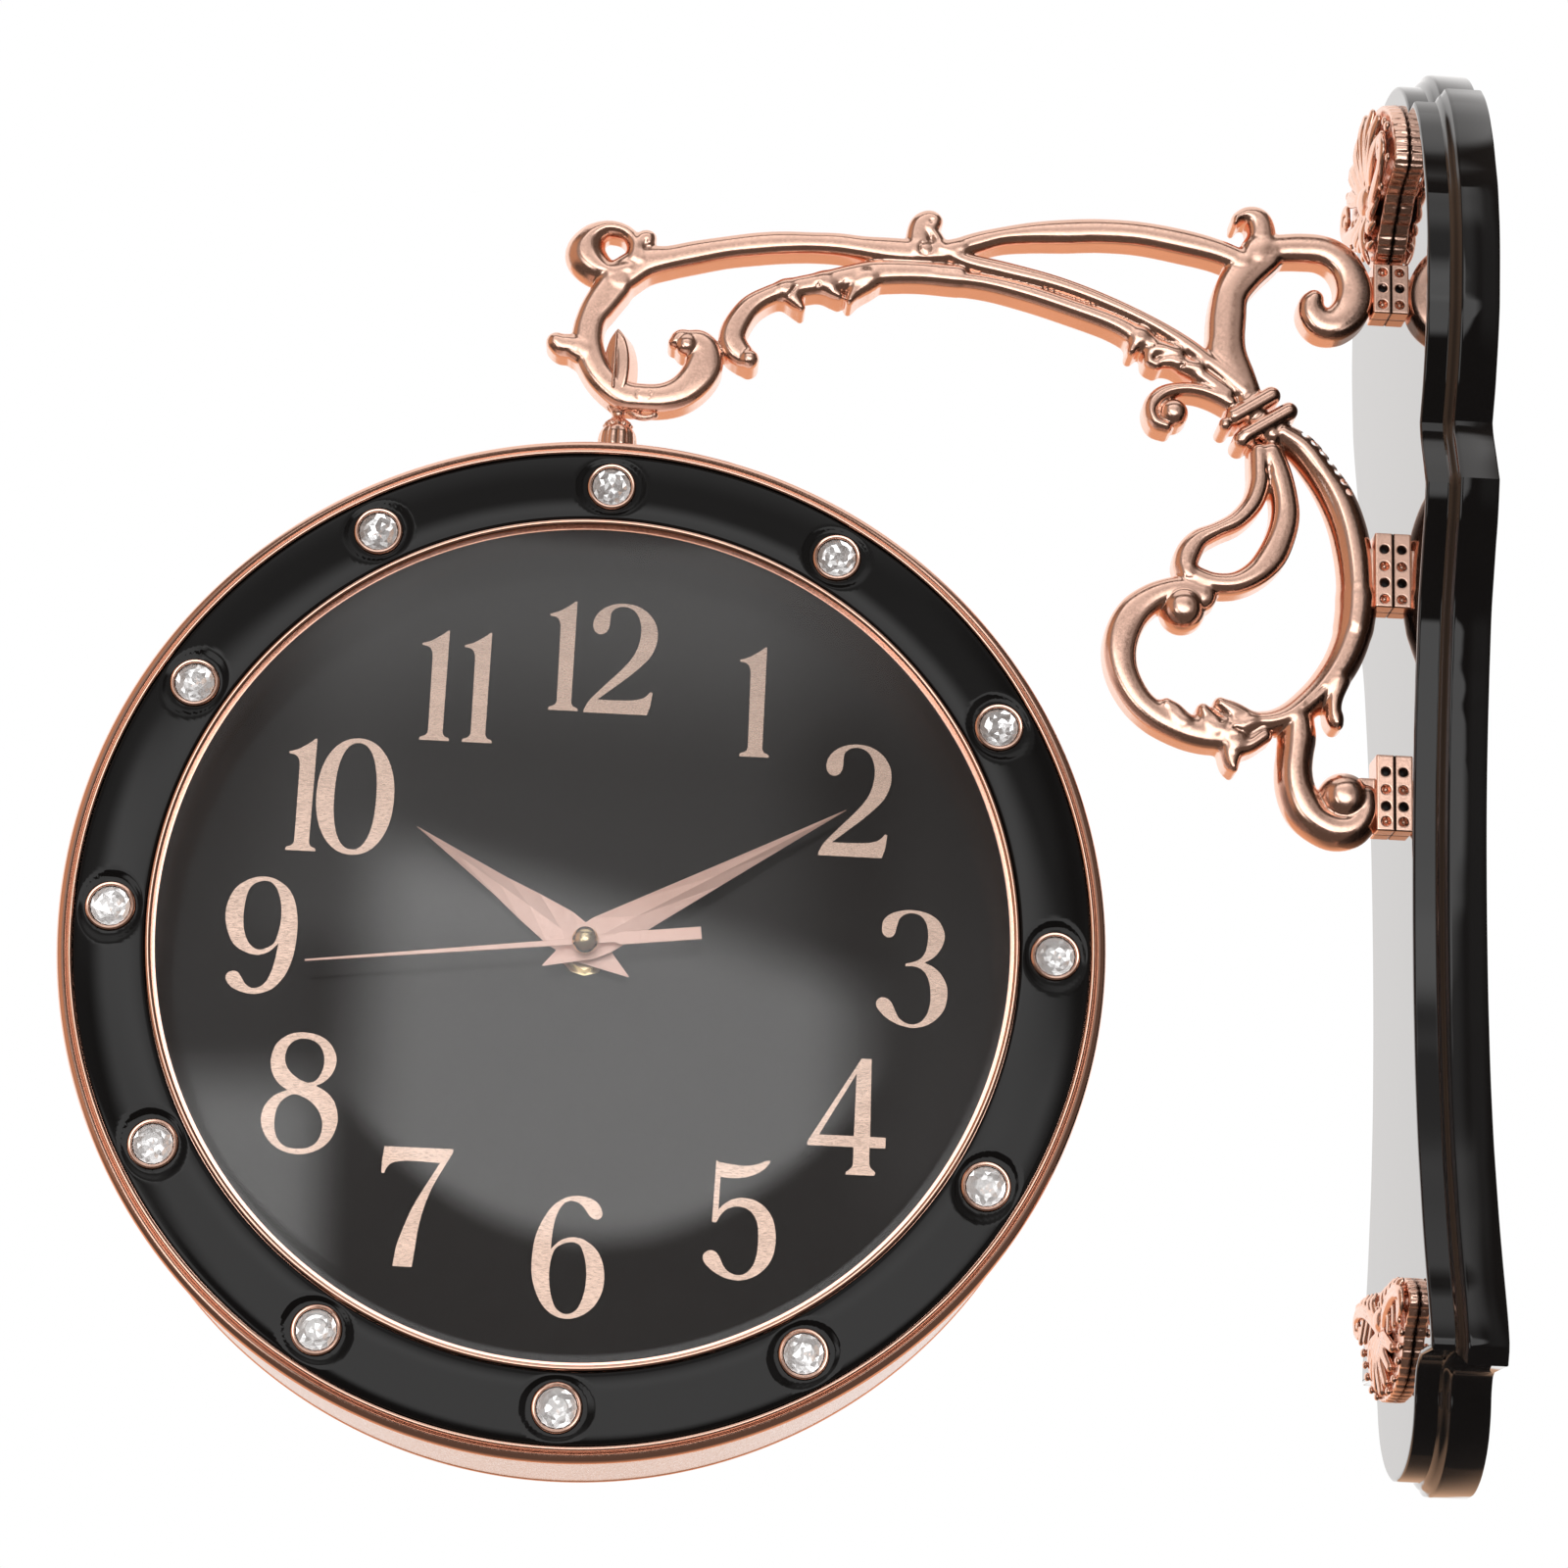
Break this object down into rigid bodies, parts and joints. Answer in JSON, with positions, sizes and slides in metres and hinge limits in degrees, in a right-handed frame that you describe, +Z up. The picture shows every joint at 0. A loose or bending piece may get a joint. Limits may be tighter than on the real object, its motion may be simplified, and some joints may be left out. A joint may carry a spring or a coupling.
{
  "type": "double sided station clock",
  "caption": "Round two-faced station clock hanging by a swivel stem from a scrolled bracket on a shaped wall plate; domed lenses, jewelled black rims, pointed hands.",
  "frame": {"origin": "middle of the wall plate's flat back face, on the wall", "axes": "+X into the wall, +Z up, front dial faces -Y and back dial +Y"},
  "size_m": [0.3692, 0.1094, 0.402],
  "materials": {
    "rose_plated": "polished rose-gold plating on moulded plastic",
    "black_gloss": "high gloss black lacquer",
    "dial": "satin black paint with rose-gold printed numerals",
    "hand": "bright peach-gold anodised, folded ridge",
    "lens": "clear domed window",
    "crystal": "clear brilliant-cut stone",
    "brass": "bright turned brass",
    "steel": "zinc plated",
    "pink_satin": "pale pink satin, brushed round the band",
    "board": "dark fibreboard grey",
    "black_matte": "fine spark-eroded black",
    "cell": "plain sleeve of an AA cell"
  },
  "bodies": {
    "wall_bracket": {"wall_plate": "black_gloss", "back_board": "board", "upper_ornament": "rose_plated", "lower_ornament": "rose_plated", "bracket_near_half": "rose_plated", "bracket_far_half": "rose_plated", "bracket_screw_1": "steel", "bracket_screw_2": "steel", "bracket_screw_3": "steel", "hanger_stem": "rose_plated", "leaf_finial": "rose_plated", "stem_nut": "steel"},
    "clock_case": {"side_band": "pink_satin", "hanger_bush": "brass"},
    "front_face": {"front_bezel": "rose_plated", "front_insert": "black_gloss", "front_lens": "lens", "front_dial": "dial", "back_dial": "dial", "movement_case": "black_matte", "battery_box": "black_matte", "front_nut": "brass", "back_nut": "brass", "front_washer": "brass", "back_washer": "brass", "front_crystal_01": "crystal", "front_crystal_02": "crystal", "front_crystal_03": "crystal", "front_crystal_04": "crystal", "front_crystal_05": "crystal", "front_crystal_06": "crystal", "front_crystal_07": "crystal", "front_crystal_08": "crystal", "front_crystal_09": "crystal", "front_crystal_10": "crystal", "front_crystal_11": "crystal", "front_crystal_12": "crystal"},
    "back_face": {"back_bezel": "rose_plated", "back_insert": "black_gloss", "back_lens": "lens", "back_crystal_01": "crystal", "back_crystal_02": "crystal", "back_crystal_03": "crystal", "back_crystal_04": "crystal", "back_crystal_05": "crystal", "back_crystal_06": "crystal", "back_crystal_07": "crystal", "back_crystal_08": "crystal", "back_crystal_09": "crystal", "back_crystal_10": "crystal", "back_crystal_11": "crystal", "back_crystal_12": "crystal"},
    "battery": {"battery_cell": "cell"},
    "set_wheel": {"set_knob": "black_matte"},
    "front_hour": {"front_hour_hand": "hand"},
    "front_minute": {"front_minute_hand": "hand"},
    "front_second": {"front_second_hand": "hand"},
    "back_hour": {"back_hour_hand": "hand"},
    "back_minute": {"back_minute_hand": "hand"},
    "back_second": {"back_second_hand": "hand"}
  },
  "joints": [
    {"name": "clock_swivel", "type": "hinge", "parent": "wall_bracket", "child": "clock_case", "pos_m": [-0.2338, 0, 0.066], "axis": [0, 0, 1], "continuous": true},
    {"name": "front_face_pull", "type": "slide", "parent": "clock_case", "child": "front_face", "axis": [0, -1, 0], "range_m": [0, 0.075]},
    {"name": "back_face_pull", "type": "slide", "parent": "clock_case", "child": "back_face", "axis": [0, 1, 0], "range_m": [0, 0.04]},
    {"name": "battery_slide", "type": "slide", "parent": "front_face", "child": "battery", "axis": [0, 0, 1], "range_m": [0, 0.02]},
    {"name": "set_wheel_turn", "type": "hinge", "parent": "front_face", "child": "set_wheel", "pos_m": [-0.29476, 0, -0.0677], "axis": [1, 0, 0], "continuous": true},
    {"name": "front_minute_turn", "type": "hinge", "parent": "front_face", "child": "front_minute", "pos_m": [-0.23476, 0, -0.0677], "axis": [0, -1, 0], "continuous": true},
    {"name": "front_hour_turn", "type": "hinge", "parent": "front_face", "child": "front_hour", "pos_m": [-0.23476, 0, -0.0677], "axis": [0, -1, 0], "continuous": true},
    {"name": "front_second_turn", "type": "hinge", "parent": "front_face", "child": "front_second", "pos_m": [-0.23476, 0, -0.0677], "axis": [0, -1, 0], "continuous": true},
    {"name": "back_minute_turn", "type": "hinge", "parent": "front_face", "child": "back_minute", "pos_m": [-0.23476, 0, -0.0677], "axis": [0, 1, 0], "continuous": true},
    {"name": "back_hour_turn", "type": "hinge", "parent": "front_face", "child": "back_hour", "pos_m": [-0.23476, 0, -0.0677], "axis": [0, 1, 0], "continuous": true},
    {"name": "back_second_turn", "type": "hinge", "parent": "front_face", "child": "back_second", "pos_m": [-0.23476, 0, -0.0677], "axis": [0, 1, 0], "continuous": true}
  ],
  "couplings": [
    {"joint": "front_hour_turn", "follows": "front_minute_turn", "ratio": 0.083333},
    {"joint": "back_minute_turn", "follows": "front_minute_turn", "ratio": 1},
    {"joint": "back_hour_turn", "follows": "front_minute_turn", "ratio": 0.083333},
    {"joint": "set_wheel_turn", "follows": "front_minute_turn", "ratio": -3},
    {"joint": "back_second_turn", "follows": "front_second_turn", "ratio": 1}
  ]
}
